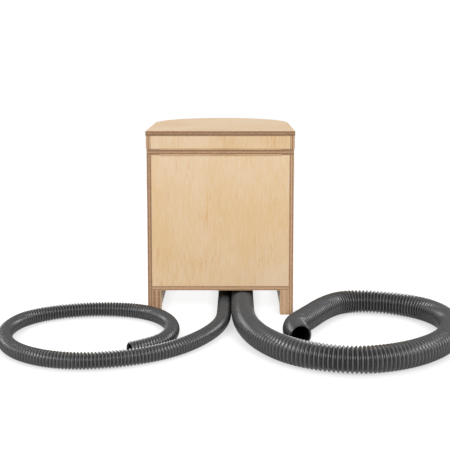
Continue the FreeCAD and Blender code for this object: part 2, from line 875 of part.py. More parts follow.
def make_cabinet():
    tunnel = arch()
    holes = solid(floor_screws(d.screw_clearance))
    span, runner_span = (front_centre, rear), (front_centre + d.runner_setback, rear)
    for name, outside, inside, runner in (
        ("left", -half_body, -half_in, d.runner_width - half_in),
        ("right", half_body, half_in, half_in - d.runner_width),
    ):
        low, high = (outside, inside) if name == "left" else (inside, outside)
        part(f"{name}_side_panel", cut(box((low, high), span, (0, wall_top)), tunnel))
        low, high = (inside, runner) if name == "left" else (runner, inside)
        part(f"{name}_runner", cut(box((low, high), runner_span, (0, floor_low)), tunnel, holes))
    part("front_shell", bent_board(half_body, half_in, d.arch_height, wall_top))
    panel = box((-half_in, half_in), (rear_in, rear), (floor_top, wall_top))
    hinge_bores = hinge_holes(deck_axis, -1, d.deck_hinge_screw_count)
    part("rear_panel", cut(panel, hinge_recess(deck_axis), hinge_bores))
    foot = box((-d.front_foot_width / 2, d.front_foot_width / 2), front_foot_y(), (0, floor_low))
    part("front_foot", cut(foot, holes))
    part("floor_screws", solid(floor_screws()))
    base, _ = u_board(half_in - d.glue_gap, rear, floor_low, floor_top)
    part("bottom_panel", cut(base, holes, *panel_holes()))


def panel_holes():
    """Holes of the bottom panel for both elbows, the power inlet and the screws beside them."""
    z = (floor_low - d.overrun, floor_top + d.overrun)
    return [
        cylinder(d.drain_spigot_radius + d.panel_hole_clearance, 0, spout_y, z),
        cylinder(d.vent_spigot_radius + d.panel_hole_clearance, vent_x, vent_y, z),
        cylinder(d.inlet_radius + d.thread_clearance, vent_x, vent_y - d.inlet_forward, z),
        solid(flange_screws(d.screw_clearance)),
        solid(fan_screws(d.screw_clearance)),
    ]


def make_battens():
    """Battens across the front joints, cut to the curve, and square ones in the rear corners."""
    form, _ = u_board(half_in - d.glue_gap, rear, floor_top, wall_top - d.batten_headroom)
    y = (front_centre - d.splice_width / 2, front_centre + d.splice_width / 2)
    z = (floor_low, d.total_height)
    splices = []
    for x in ((-half_body, d.splice_ply - half_in), (half_in - d.splice_ply, half_body)):
        splices.append(common(form, box(x, y, z)))
    part("splice_battens", compound(splices))
    y = (rear_in - d.corner_batten, rear_in)
    z = (floor_top, wall_top - d.batten_headroom)
    left = box((-half_in, d.corner_batten - half_in), y, z)
    right = box((half_in - d.corner_batten, half_in), y, z)
    part("rear_corner_battens", compound([left, right]))


def make_bucket():
    wall, rim = d.bucket_wall, (bucket_rear - bucket_front) / 2
    top = rim - d.bucket_rim_width
    low = top - d.bucket_taper
    lip, height = d.bucket_height - d.bucket_rim_height, d.bucket_height
    profile = [
        (0, 0), (low, 0), (top, lip), (rim, lip), (rim, height), (top - wall, height), (low - wall, wall),
        (0, wall),
    ]
    part("solids_bucket", turned(profile, 0, (bucket_front + bucket_rear) / 2, floor_top))


# Drain line: funnel under the spout, pipe, elbow with its flange


def make_drain():
    pipe_low = elbow_top + d.pipe_foot_gap
    funnel_low = spout_low + d.funnel_lap - d.funnel_height
    socket_low = funnel_low - d.throat_height - d.funnel_socket_depth
    inside = d.pipe_radius + d.socket_clearance
    bore = d.pipe_radius - d.pipe_wall
    neck = funnel_low - d.throat_height
    rim = funnel_low + d.funnel_height
    outside = inside + d.funnel_socket_wall
    profile = [
        (inside, socket_low), (outside, socket_low), (outside, neck), (d.funnel_radius, rim),
        (d.funnel_radius - d.funnel_wall, rim), (bore, funnel_low), (bore, neck), (inside, neck),
    ]
    part("drain_funnel", turned(profile, 0, spout_y, 0))
    top = neck - d.pipe_top_gap
    profile = [(bore, pipe_low), (d.pipe_radius, pipe_low), (d.pipe_radius, top), (bore, top)]
    part("drain_pipe", turned(profile, 0, spout_y, 0))


def flange_screws(clearance=0):
    """Three screws of the drain elbow's flange, heads on the flange."""
    circle, middle = float(d.drain_screw_circle), vec(0, float(spout_y), float(elbow_top))
    turns = [math.pi / 2 + 2 * math.pi * share for share in FLANGE_SCREW_SHARES]
    places = [middle + vec(math.cos(turn), math.sin(turn), 0) * circle for turn in turns]
    head = (d.pan_head_radius, d.pan_head_height)
    length = d.elbow_flange_thickness + d.flange_screw_bite
    return screws(places, -up, head, d.wood_screw_radius, length, False, clearance)


drain_spot = (0, spout_y, d.drain_axis_height, d.drain_bend_radius, d.drain_spigot_length)
vent_spot = (vent_x, vent_y, d.vent_axis_height, d.vent_bend_radius, d.vent_spigot_length)


def elbow_run(x, y, level, bend, spigot, past=0):
    """Corner points of an elbow: down through the bottom panel, then to the rear."""
    top = vec(float(x), float(y), float(elbow_top + past))
    corner = vec(float(x), float(y), float(level))
    end = corner + vec(0, float(bend + spigot + past), 0)
    return top, corner, end, float(bend)


def make_drain_elbow():
    shape = pipe(elbow_run(*drain_spot), d.drain_spigot_radius)
    middle = vec(0, float(spout_y), 0)
    low, top = up * float(floor_top), up * float(elbow_top)
    collar_top = up * float(elbow_top + d.pipe_socket_depth)
    inside = d.pipe_radius + d.socket_clearance
    flange = bar(d.drain_flange_radius, middle + low, middle + top)
    collar = bar(inside + d.pipe_socket_wall, middle + low, middle + collar_top)
    shape = shape.fuse([flange, collar])
    past = up * float(d.overrun)
    shape = shape.cut(bar(inside, middle + top, middle + collar_top + past))
    shape = shape.cut(pipe(elbow_run(*drain_spot, d.overrun), d.drain_spigot_radius - d.drain_spigot_wall))
    part("drain_elbow", solid(shape.cut(flange_screws(d.screw_clearance)).removeSplitter()))
    part("drain_flange_screws", solid(flange_screws()))


# Vent line: elbow with a square flange, fan frame, impeller and guard


def fan_screws(clearance=0):
    """Four screws from the guard through the fan and the elbow's flange into the bottom panel."""
    half = float(d.fan_screw_spacing) / 2
    level = elbow_top + d.fan_height + d.guard_thickness
    middle = vec(float(vent_x), float(vent_y), float(level))
    places = [middle + vec(a * half, b * half, 0) for a in (-1, 1) for b in (-1, 1)]
    head = (d.pan_head_radius, d.pan_head_height)
    length = level - floor_top + d.fan_screw_bite
    return screws(places, -up, head, d.fan_screw_radius, length, False, clearance)


def fan_block(low, high):
    """The square of the fan at a level, with rounded corners left to the moulding."""
    side = float(d.fan_side)
    return Part.makeBox(side, side, float(high - low),
                        vec(float(vent_x) - side / 2, float(vent_y) - side / 2, float(low)))


def fan_post(radius, low, high):
    x, y = float(vent_x), float(vent_y)
    return bar(radius, vec(x, y, float(low)), vec(x, y, float(high)))


def make_vent_elbow():
    shape = pipe(elbow_run(*vent_spot), d.vent_spigot_radius).fuse(fan_block(floor_top, elbow_top))
    shape = shape.cut(pipe(elbow_run(*vent_spot, d.overrun), d.vent_spigot_radius - d.vent_spigot_wall))
    part("vent_elbow", solid(shape.cut(fan_screws(d.fan_screw_clearance)).removeSplitter()))


def make_fan():
    low, high = elbow_top, elbow_top + d.fan_height
    holder = low + d.fan_holder_height
    frame = fan_block(low, high).cut(fan_post(d.fan_bore_radius, low - d.overrun, high + d.overrun))
    struts = []
    for index in range(int(d.fan_strut_count)):
        reach = float(d.fan_bore_radius + d.overrun)
        strut = Part.makeBox(reach, float(d.fan_strut_width), float(d.fan_holder_height),
                             vec(0, -float(d.fan_strut_width) / 2, 0))
        strut.rotate(vec(), up, 360 * index / int(d.fan_strut_count))
        strut.translate(vec(float(vent_x), float(vent_y), float(low)))
        struts.append(strut)
    pin = fan_post(d.fan_pin_radius, low, holder + d.fan_running_gap + d.fan_pin_height)
    frame = frame.fuse([fan_post(d.fan_hub_radius, low, holder), pin] + struts)
    part("fan_frame", solid(frame.cut(fan_screws(d.fan_screw_clearance)).removeSplitter()))
    part("fan_screws", solid(fan_screws()))


def make_impeller():
    """A hub that turns on the fan's pin, with slanted blades between hub and bore."""
    low = elbow_top + d.fan_holder_height + d.fan_running_gap
    bore_top = low + d.fan_pin_height + d.fan_running_gap
    top = bore_top + d.fan_cap
    tip = d.fan_bore_radius - d.fan_tip_gap
    middle = float(low + (top - low) / 2)
    room = fan_post(tip, low, top)
    blades = []
    for index in range(int(d.blade_count)):
        blade = Part.makeBox(float(tip + d.overrun), float(d.blade_thickness), float(d.blade_height),
                             vec(0, -float(d.blade_thickness) / 2, -float(d.blade_height) / 2))
        blade.rotate(vec(), vec(1, 0, 0), 90 - float(d.blade_pitch))
        blade.rotate(vec(), up, 360 * index / int(d.blade_count))
        blade.translate(vec(float(vent_x), float(vent_y), middle))
        blades.append(blade.common(room))
    hub = fan_post(d.fan_hub_radius, low, top)
    bore = fan_post(d.fan_pin_radius + d.hinge_pin_clearance, low - d.overrun, bore_top)
    part("fan_impeller", solid(hub.fuse(blades).cut(bore).removeSplitter()))


def make_guard():
    """Rings and diagonal arms of flat wire over the fan, with an eye at each screw."""
    low = elbow_top + d.fan_height
    high = low + d.guard_thickness
    wire, reach = float(d.guard_wire), float(d.fan_screw_spacing) * math.sqrt(0.5)
    half = float(d.fan_screw_spacing) / 2
    pieces = []
    for turn in (45, 135):
        arm = Part.makeBox(2 * reach, wire, float(high - low), vec(-reach, -wire / 2, 0))
        arm.rotate(vec(), up, turn)
        arm.translate(vec(float(vent_x), float(vent_y), float(low)))
        pieces.append(arm)
    for a in (-half, half):
        for b in (-half, half):
            foot = vec(float(vent_x) + a, float(vent_y) + b, float(low))
            pieces.append(bar(d.guard_eye_radius, foot, foot + up * float(high - low)))
    for index in range(int(d.guard_ring_count)):
        radius = float(d.fan_bore_radius) * (index + 1) / (int(d.guard_ring_count) + 0.5)
        pieces.append(fan_post(radius, low, high).cut(fan_post(radius - wire, low, high)))
    shape = pieces[0].fuse(pieces[1:]).cut(fan_screws(d.fan_screw_clearance))
    part("fan_guard", solid(shape.removeSplitter()))


# Power inlet under the bottom panel and the lead to the fan


def make_inlet():
    low, top = floor_low - d.inlet_flange_thickness, floor_top + d.inlet_height
    roof = low + d.inlet_bore_depth
    profile = [
        (d.inlet_bore_radius, low), (d.inlet_flange_radius, low), (d.inlet_flange_radius, floor_low),
        (d.inlet_radius, floor_low), (d.inlet_radius, top), (0, top), (0, roof), (d.inlet_bore_radius, roof),
    ]
    y = vent_y - d.inlet_forward
    part("power_inlet", turned(profile, vent_x, y, 0))
    inside = d.inlet_radius + d.thread_clearance
    nut_top = floor_top + d.inlet_nut_height
    outside = d.inlet_nut_radius
    profile = [(inside, floor_top), (outside, floor_top), (outside, nut_top), (inside, nut_top)]
    part("power_inlet_nut", turned(profile, vent_x, y, 0))
    start = vec(float(vent_x), float(y), float(top))
    corner = start + up * float(d.lead_rise + d.lead_bend_radius)
    end = vec(float(vent_x), float(vent_y - d.fan_side / 2), corner.z)
    part("fan_lead", solid(pipe((start, corner, end, float(d.lead_bend_radius)), d.lead_radius)))


make_cabinet()
make_battens()
make_bucket()
make_drain()
make_drain_elbow()
make_vent_elbow()
make_fan()
make_impeller()
make_guard()
make_inlet()

# Hoses: ribbed tubes along straight runs joined by tangent arcs

ARC_SHARE = 0.45


def rounded_route(points):
    """Runs and arcs of a route. Each arc takes a fixed share of the shorter run beside its corner."""
    corners = [vec(*point) for point in points]
    spans, radii, last = [], [], corners[0]
    for before, corner, after in zip(corners, corners[1:], corners[2:]):
        back, ahead = before - corner, after - corner
        reach = ARC_SHARE * min(back.Length, ahead.Length)
        back.normalize()
        ahead.normalize()
        turn = math.pi - back.getAngle(ahead)
        radius = reach / math.tan(turn / 2)
        start, end = corner + back * reach, corner + ahead * reach
        spans.append((last, start - last, None, 0, (start - last).Length))
        axis = (back * -1).cross(ahead).normalize()
        centre = start + axis.cross(back * -1) * radius
        spans.append((start, back * -1, centre, axis, radius * turn))
        radii.append(radius)
        last = end
    spans.append((last, corners[-1] - last, None, 0, (corners[-1] - last).Length))
    return spans, radii


def along(spans, distance):
    """The point and the direction at a distance along the route."""
    for start, direction, centre, axis, length in spans:
        if distance <= length or (start, length) == (spans[-1][0], spans[-1][4]):
            break
        distance -= length
    heading = vec(direction).normalize()
    if centre is None:
        return start + heading * distance, heading
    spin = FreeCAD.Rotation(axis, math.degrees(distance / (start - centre).Length))
    return centre + spin.multVec(start - centre), spin.multVec(heading)


def ring_at(place, heading, radius):
    """A circle square to the route, its start kept upright so that the ribs never twist."""
    side = (up - heading * up.dot(heading)).normalize()
    turn = FreeCAD.Rotation(side, heading.cross(side), heading, "ZXY")
    circle = Part.makeCircle(float(radius))
    circle.Placement = FreeCAD.Placement(place, turn)
    return Part.Wire([circle])


def least_gap(centres, crest):
    """The least room that the hose leaves beside itself, on points that are far apart along it."""
    apart = int(math.ceil(math.pi * 2 * crest / (centres[1] - centres[0]).Length))
    pairs = ((a - b).Length for i, a in enumerate(centres) for b in centres[i + apart:])
    return min(pairs) - 2 * crest


def make_hose(name, points, crest, root, bore):
    """Two circles at the root and two at the crest for each rib, and a smooth bore."""
    spans, radii = rounded_route(points)
    length = sum(span[4] for span in spans)
    count = int(d.hose_rib_count)
    pitch = length / count
    outer, inner, centres = [], [], []
    for index in range(count):
        for share, radius in zip(RIB_SHARES, (root, root, crest, crest)):
            outer.append(ring_at(*along(spans, (index + share) * pitch), radius))
        place, heading = along(spans, index * pitch)
        inner.append(ring_at(place, heading, bore))
        centres.append(place)
    place, heading = along(spans, length)
    outer.append(ring_at(place, heading, root))
    inner.append(ring_at(place, heading, bore))
    skin = Part.makeLoft(outer, False, True).Faces
    lining = Part.makeLoft(inner, False, True).Faces
    ends = [Part.makeFace([outer[end], inner[end]], "Part::FaceMakerBullseye") for end in (0, -1)]
    shell = Part.Shell(skin + lining + ends)
    shell.sewShape()
    tube = Part.Solid(shell)
    if tube.Volume < 0:
        tube.reverse()
    middle = (float(root) + float(crest)) / 2
    section = math.pi * (middle ** 2 - float(bore) ** 2)
    print(f"{name}: length {length:.0f}, pitch {pitch:.2f}, radii", *(f"{radius:.0f}" for radius in radii))
    print(f"{name}: volume {tube.Volume:.0f}, section times length {section * length:.0f},",
          f"least gap to itself {least_gap(centres, float(crest)):.1f}")
    part(name, solid(tube))


def make_clip(name, spot, crest, side):
    """A band round the hose over an elbow's spigot, with its screw housing at one side."""
    x, y, level, bend, _ = spot
    low = vec(float(x), float(y + bend + d.clip_setback), float(level))
    high = low + vec(0, float(d.clip_width), 0)
    inside = float(crest + d.clip_clearance)
    outside = inside + float(d.clip_band)
    wide, tall = float(d.clip_housing_width), float(d.clip_housing_height)
    near = outside - float(d.clip_band) / 2 if side > 0 else -outside + float(d.clip_band) / 2 - wide
    housing = Part.makeBox(wide, float(d.clip_width), tall, low + vec(near, 0, -tall / 2))
    reach = float(d.clip_screw_length) / 2
    axle = low + vec(near + wide / 2, float(d.clip_width) / 2, 0)
    screw = bar(d.clip_screw_radius, axle - up * reach, axle + up * reach)
    shape = bar(outside, low, high).fuse([housing, screw]).cut(bar(inside, low, high))
    part(name, solid(shape.removeSplitter()))


make_hose("drain_hose", DRAIN_ROUTE, d.drain_hose_crest, d.drain_hose_root, d.drain_hose_bore)
make_hose("vent_hose", VENT_ROUTE, d.vent_hose_crest, d.vent_hose_root, d.vent_hose_bore)
make_clip("drain_hose_clip", drain_spot, d.drain_hose_crest, 1)
make_clip("vent_hose_clip", vent_spot, d.vent_hose_crest, -1)

# Every object has to be sound before anything is written

doc.recompute()
for item in doc.Objects:
    if "Invalid" in item.State or "Error" in item.State:
        raise ValueError(f"{item.Label} ({item.Name}) failed: {item.State}")
for label, thing in parts.items():
    if thing.Shape.isNull() or not thing.Shape.isValid() or not thing.Shape.Solids:
        raise ValueError(f"{label} has no sound solid")

os.makedirs("parts", exist_ok=True)
for label, thing in parts.items():
    thing.Shape.exportStep(os.path.join("parts", f"{label}.step"))
print(len(parts), "pieces,", sum(len(thing.Shape.Solids) for thing in parts.values()), "solids")
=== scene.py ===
# %% [markdown]
# # A plywood toilet with two hoses
#
# This dry toilet keeps urine apart from solids. Its cabinet is birch plywood with a flat rear and a round
# front, it stands on two runners, and a hinged hood covers the seat. Two ribbed hoses come out from under
# it: a thin one that drains and a thick one that vents. The lesson dresses the finished CAD model. The
# camera and the hoses come first, then floor and light, and last the look of wood, plastic, rubber and
# metal.

# %% [markdown]
# ## Load the frame
#
# The boards and fittings of the real toilet are cut, bent and moulded to exact sizes, and the CAD model
# holds those. They could be modelled a second time in Blender, but two models soon differ. So the CAD
# model is loaded as a fixed frame of named pieces, and only their looks change here. Lengths are in
# metres, with +Z up and the cabinet's flat rear towards +Y.

# %% Load the frame
import json
import math

import bpy
import numpy as np
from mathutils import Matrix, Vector


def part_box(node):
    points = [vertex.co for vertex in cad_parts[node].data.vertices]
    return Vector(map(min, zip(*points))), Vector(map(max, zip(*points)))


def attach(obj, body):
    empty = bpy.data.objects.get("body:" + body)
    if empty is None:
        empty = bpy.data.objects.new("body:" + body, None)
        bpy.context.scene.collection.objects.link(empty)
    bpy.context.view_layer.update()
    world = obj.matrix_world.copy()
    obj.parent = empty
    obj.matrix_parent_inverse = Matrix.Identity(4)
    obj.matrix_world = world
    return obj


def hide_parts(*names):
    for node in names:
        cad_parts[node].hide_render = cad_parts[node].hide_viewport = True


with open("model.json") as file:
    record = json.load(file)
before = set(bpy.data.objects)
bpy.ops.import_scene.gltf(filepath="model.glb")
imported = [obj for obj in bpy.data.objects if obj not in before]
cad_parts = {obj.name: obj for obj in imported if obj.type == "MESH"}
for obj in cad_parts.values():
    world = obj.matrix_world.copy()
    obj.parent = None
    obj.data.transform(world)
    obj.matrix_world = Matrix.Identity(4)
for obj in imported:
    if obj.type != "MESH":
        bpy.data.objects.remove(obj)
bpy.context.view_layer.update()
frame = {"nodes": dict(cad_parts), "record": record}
nodes = frame["nodes"]

# %% [markdown]
# ## Camera
#
# The toilet is seen from behind and a little from above, so that its rear panel faces the camera squarely
# and the round front of the lid just shows. A camera that tilts down to the hoses makes the uprights lean.
# A level one with a shifted lens keeps them upright, but a large shift pushes the toilet out of the picture
# in every other view. So a small tilt and a small downward shift share the work.

# %% Camera
CAMERA_PLACE = (-0.0318, 2.4097, 0.6797)
CAMERA_TILT = math.radians(5.572)
# Sensor and lens are in millimetres, the shifts in widths of the picture
SENSOR_WIDTH = 36
LENS_LENGTH = 67.0
SHIFT_ACROSS = -0.0167
SHIFT_UP = -0.19

camera = bpy.data.objects.new("camera", bpy.data.cameras.new("camera"))
camera.location = CAMERA_PLACE
camera.rotation_euler = (math.pi / 2 - CAMERA_TILT, 0, math.pi)
camera.data.sensor_width = SENSOR_WIDTH
camera.data.lens = LENS_LENGTH
camera.data.shift_x = SHIFT_ACROSS
camera.data.shift_y = SHIFT_UP
bpy.context.scene.collection.objects.link(camera)
bpy.context.scene.camera = camera
print("camera: lens", camera.data.lens, "mm, tilt", round(math.degrees(CAMERA_TILT), 1), "degrees")

# %% [markdown]
# ## Where the hoses lie
#
# On the real toilet each hose sits on an elbow under the cabinet, comes out at the rear and lies once round
# on the floor. A physics simulation could drop it there, but it would not settle in these very bends. A
# list of given points is easy to read and to mend. The first points of each list come down from
# the elbow, and the others keep the height at which the hose rests on the floor.

# %% Hose routes
DRAIN_ROUTE = [
    (0, -0.086, 0.021), (-0.004, -0.015, 0.021), (-0.0118, 0.080, 0.020), (-0.0104, 0.180, 0.0194),
    (-0.0103, 0.262, 0.0194), (-0.0085, 0.338, 0.0194), (0.008, 0.411, 0.0194), (0.043, 0.482, 0.0194),
    (0.089, 0.543, 0.0194), (0.149, 0.590, 0.0194), (0.222, 0.621, 0.0194), (0.300, 0.635, 0.0194),
    (0.377, 0.622, 0.0194), (0.445, 0.583, 0.0194), (0.490, 0.530, 0.0194), (0.515, 0.468, 0.0194),
    (0.519, 0.401, 0.0194), (0.501, 0.339, 0.0194), (0.456, 0.293, 0.0194), (0.396, 0.265, 0.0194),
    (0.322, 0.251, 0.0194), (0.246, 0.258, 0.0194), (0.186, 0.283, 0.0194), (0.140, 0.332, 0.0194),
    (0.115, 0.398, 0.0194), (0.117, 0.465, 0.0194), (0.142, 0.524, 0.0194), (0.202, 0.563, 0.0194),
]
VENT_ROUTE = [
    (-0.066, -0.076, 0.0315), (-0.0612, 0.025, 0.0315), (-0.0585, 0.140, 0.0308), (-0.0582, 0.250, 0.0304),
    (-0.0580, 0.342, 0.0304), (-0.070, 0.433, 0.0304), (-0.102, 0.524, 0.0304), (-0.158, 0.601, 0.0304),
    (-0.230, 0.643, 0.0304), (-0.310, 0.659, 0.0304), (-0.390, 0.639, 0.0304), (-0.458, 0.600, 0.0304),
    (-0.519, 0.540, 0.0304), (-0.558, 0.462, 0.0304), (-0.568, 0.378, 0.0304), (-0.541, 0.297, 0.0304),
    (-0.480, 0.244, 0.0304), (-0.398, 0.216, 0.0304), (-0.322, 0.222, 0.0304), (-0.268, 0.279, 0.0304),
    (-0.219, 0.366, 0.0304), (-0.171, 0.446, 0.0304), (-0.191, 0.502, 0.0304),
]
print("routes:", len(DRAIN_ROUTE), "points for the drain and", len(VENT_ROUTE), "for the vent")

# %% [markdown]
# ## A smooth line
#
# A stiff hose bends evenly and has no corners. Bezier handles could round the corners of a route, but each
# handle needs a direction of its own. A NURBS spline needs none: the points pull on it, and it turns evenly
# between them. Blender works the spline out, and the script keeps its points as an array.

# %% Smooth line
SPLINE_STEPS = 48
SPLINE_ORDER = 3


def smooth_line(name, route):
    """Points along a spline, each a weighted mean of three neighbouring points of the route."""
    curve = bpy.data.curves.new(name, "CURVE")
    curve.dimensions = "3D"
    curve.resolution_u = SPLINE_STEPS
    spline = curve.splines.new("NURBS")
    spline.points.add(len(route) - 1)
    spline.points.foreach_set("co", np.c_[np.array(route), np.ones(len(route))].ravel())
    spline.order_u = SPLINE_ORDER
    spline.use_endpoint_u = True
    holder = bpy.data.objects.new(name, curve)
    bpy.context.scene.collection.objects.link(holder)
    mesh = bpy.data.meshes.new_from_object(holder)
    points = np.zeros(len(mesh.vertices) * 3)
    mesh.vertices.foreach_get("co", points)
    bpy.data.objects.remove(holder)
    bpy.data.curves.remove(curve)
    bpy.data.meshes.remove(mesh)
    return points.reshape(-1, 3)


def line_length(line):
    """The sum of the distances from each point of a line to the next."""
    return np.linalg.norm(np.diff(line, axis=0), axis=1).sum()


drain_line = smooth_line("drain_line", DRAIN_ROUTE)
vent_line = smooth_line("vent_line", VENT_ROUTE)
for name, line in (("drain", drain_line), ("vent", vent_line)):
    print(name, "line:", len(line), "points,", round(line_length(line), 3), "m")

# %% [markdown]
# ## Rings along a line
#
# A hose is round all along its line: 38 millimetres over the ribs for the drain and 60 for the vent. The
# bevel of a curve could make it round, but here the radius changes within every rib, and the ribs are far
# closer together than the points of a route. So numpy works out each ring of the wall, square to the line
# and with a radius of its own.

# %% Hose sizes and rings
# Radius over the ribs, in the grooves and of the bore, length of a rib, and points around a ring
DRAIN_SIZES = {"crest": 0.0190, "root": 0.0161, "bore": 0.0151, "pitch": 0.0078, "around": 24}
VENT_SIZES = {"crest": 0.0300, "root": 0.0256, "bore": 0.0245, "pitch": 0.0094, "around": 32}


def rings(line, distances, radius, around):
    """Circles square to a line that lies nearly flat.

    point(s, a) = c(s) + r(s) (cos a n(s) + sin a b(s)), with t the line's direction,
    n = t x up made a unit vector, and b = n x t.
    """
    steps = np.linalg.norm(np.diff(line, axis=0), axis=1)
    run = np.concatenate([[0], np.cumsum(steps)])
    centre = np.stack([np.interp(distances, run, line[:, axis]) for axis in range(3)], axis=1)
    slope = np.gradient(line, run, axis=0)
    ahead = np.stack([np.interp(distances, run, slope[:, axis]) for axis in range(3)], axis=1)
    ahead /= np.linalg.norm(ahead, axis=1, keepdims=True)
    side = np.cross(ahead, (0, 0, 1))
    side /= np.linalg.norm(side, axis=1, keepdims=True)
    rise = np.cross(side, ahead)
    angle = np.linspace(0, 2 * np.pi, around, endpoint=False)[None, :, None]
    spoke = np.cos(angle) * side[:, None] + np.sin(angle) * rise[:, None]
    return centre[:, None] + radius[:, None, None] * spoke


for name, line, hose_sizes in (("drain", drain_line, DRAIN_SIZES), ("vent", vent_line, VENT_SIZES)):
    far_end = np.array([line_length(line)])
    last_ring = rings(line, far_end, np.array([hose_sizes["crest"]]), hose_sizes["around"])
    print(name, "end: lowest point", round(last_ring[..., 2].min(), 4), "m above the ground plane")

# %% [markdown]
# ## Ribbed wall
#
# The real hoses have a rounded rib every 8 or 9 millimetres, which lets stiff plastic bend without a kink.
# A bump in the material would draw such ribs, but not on the outline of the hose, where they show most. So
# the ribs are in the mesh: the radius rises and falls as a squared sine. The wall runs out along the ribs
# and back along the smooth bore, which closes it and gives the cut ends their thickness.

# %% Ribbed wall
RINGS_A_RIB = 12
BORE_MARK = -1.0


def make_mesh(name, points, faces):
    """A mesh object at the origin from arrays of points and of faces."""
    mesh = bpy.data.meshes.new(name)
    mesh.from_pydata(points, [], faces)
    mesh.update()
    thing = bpy.data.objects.new(name, mesh)
    bpy.context.scene.collection.objects.link(thing)
    return thing


def ribbed_hose(name, line, crest, root, bore, pitch, around):
    """One closed wall of n ribs: out along the ribs, over the far end and back along the bore.

    The outer radius at a distance s is root + (crest - root) sin^2(pi n s / length).
    The attribute crest holds that squared sine outside, and the bore's mark inside.
    """
    length = line_length(line)
    count = int(length / pitch)
    out = np.linspace(0, length, count * RINGS_A_RIB + 1)
    swell = np.sin(np.pi * count * out / length) ** 2
    back = np.linspace(length, 0, count + 1)
    outside = rings(line, out, root + (crest - root) * swell, around)
    inside = rings(line, back, np.full(len(back), bore), around)
    grid = np.concatenate([outside, inside])
    index = np.arange(len(grid) * around).reshape(len(grid), around)
    along = np.roll(index, -1, axis=0)
    across = np.roll(index, -1, axis=1)
    corner = np.roll(along, -1, axis=1)
    faces = np.stack([index, along, corner, across], axis=-1).reshape(-1, 4)
    hose = make_mesh(name, grid.reshape(-1, 3), faces.tolist())
    height = np.concatenate([swell, np.full(len(back), BORE_MARK)])
    mark = hose.data.attributes.new("crest", "FLOAT", "POINT")
    mark.data.foreach_set("value", np.repeat(height, around).astype(np.float32))
    hose.data.polygons.foreach_set("use_smooth", np.ones(len(faces), bool))
    print(name, "length", round(length, 3), "m,", count, "ribs,", len(faces), "faces")
    return hose


print("ribbed wall:", RINGS_A_RIB, "rings to a rib")

# %% [markdown]
# ## Lay the hoses
#
# Each hose takes the place of a simpler one in the CAD model and moves with the cabinet.

# %% Lay the hoses


def lay_hose(name, node, line, crest, **hose_sizes):
    hose = ribbed_hose(name, line, crest, **hose_sizes)
    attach(hose, "cabinet")
    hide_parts(node)
    return hose


drain_hose = lay_hose("drain_hose_tube", "drain_hose", drain_line, **DRAIN_SIZES)
vent_hose = lay_hose("vent_hose_tube", "vent_hose", vent_line, **VENT_SIZES)

# %% [markdown]
# ## Shader arithmetic
#
# The finishes of the real toilet change from place to place: veneer has clouds and streaks, the plies take
# turns, dust lies on the hoses. In Blender that is a tree of nodes. It could be drawn by hand in the Shader
# Editor, but a drawn tree can't be read as text. So a small class wraps a socket, and sums of sockets are
# written as sums. Whatever is not arithmetic goes through one method that adds a node by its kind.

# %% Shader arithmetic
# Places of the sockets on a Mix node that mixes colours
MIX_FACTOR, MIX_FIRST, MIX_SECOND = 0, 6, 7
MIX_RESULT = 2


class Shade:
    """One output of a material's nodes."""

    def __init__(self, tree, socket):
        self.tree = tree
        self.socket = socket

    def node(self, kind, inputs, output=0, **settings):
        """Adds a node, sets or links its inputs, and gives back one of its outputs."""
        made = self.tree.nodes.new(kind)
        for name, value in settings.items():
            setattr(made, name, value)
        for name, value in inputs.items():
            if isinstance(value, Shade):
                self.tree.links.new(value.socket, made.inputs[name])
            else:
                made.inputs[name].default_value = value
        return Shade(self.tree, made.outputs[output])

    def math(self, operation, first, second=0.0):
        """One operation on two values, by the name that Blender has for it."""
        return self.node("ShaderNodeMath", {0: first, 1: second}, operation=operation)

    def __add__(self, other):
        return self.math("ADD", self, other)

    def __radd__(self, other):
        return self.math("ADD", other, self)

    def __sub__(self, other):
        return self.math("SUBTRACT", self, other)

    def __rsub__(self, other):
        return self.math("SUBTRACT", other, self)

    def __mul__(self, other):
        return self.math("MULTIPLY", self, other)

    def __rmul__(self, other):
        return self.math("MULTIPLY", other, self)

    def __truediv__(self, other):
        return self.math("DIVIDE", self, other)

    def __rtruediv__(self, other):
        return self.math("DIVIDE", other, self)

    def __pow__(self, other):
        return self.math("POWER", self, other)

    def __abs__(self):
        return self.math("ABSOLUTE", self)

    def step(self, low, high):
        """0 below low, 1 above high, and a smooth rise between."""
        edges = {"From Min": low, "From Max": high}
        return self.node("ShaderNodeMapRange", {"Value": self, **edges}, interpolation_type="SMOOTHSTEP")

    def blend(self, first, second):
        """The first colour where this is 0 and the second where it is 1."""
        colours = {MIX_FACTOR: self, MIX_FIRST: first, MIX_SECOND: second}
        return self.node("ShaderNodeMix", colours, MIX_RESULT, data_type="RGBA", clamp_factor=True)

    def noise(self, scale=1.0, detail=2.0, rough=0.5, bend=0.0):
        """Noise at this point, about one half on average."""
        looks = {"Scale": scale, "Detail": detail, "Roughness": rough, "Distortion": bend}
        return self.node("ShaderNodeTexNoise", {"Vector": self, **looks})


print("shader arithmetic: sums, products, powers, steps, blends and noise")

# %% [markdown]
# ## Colours
#
# The maker of a finish thinks of a colour as a screen shows it, but shaders reckon with amounts of light.
# Blender's colour picker turns one into the other, and a script has to do it by itself. One function with
# the screen's own curve keeps every colour below in numbers that can be compared with a picture.

# %% Colours
SCREEN_WHITE = 255
# The curve of a screen: a straight foot near black, then a power with an offset
FOOT_END = 0.04045
FOOT_SLOPE = 12.92
CURVE_OFFSET = 0.055
CURVE_POWER = 2.4


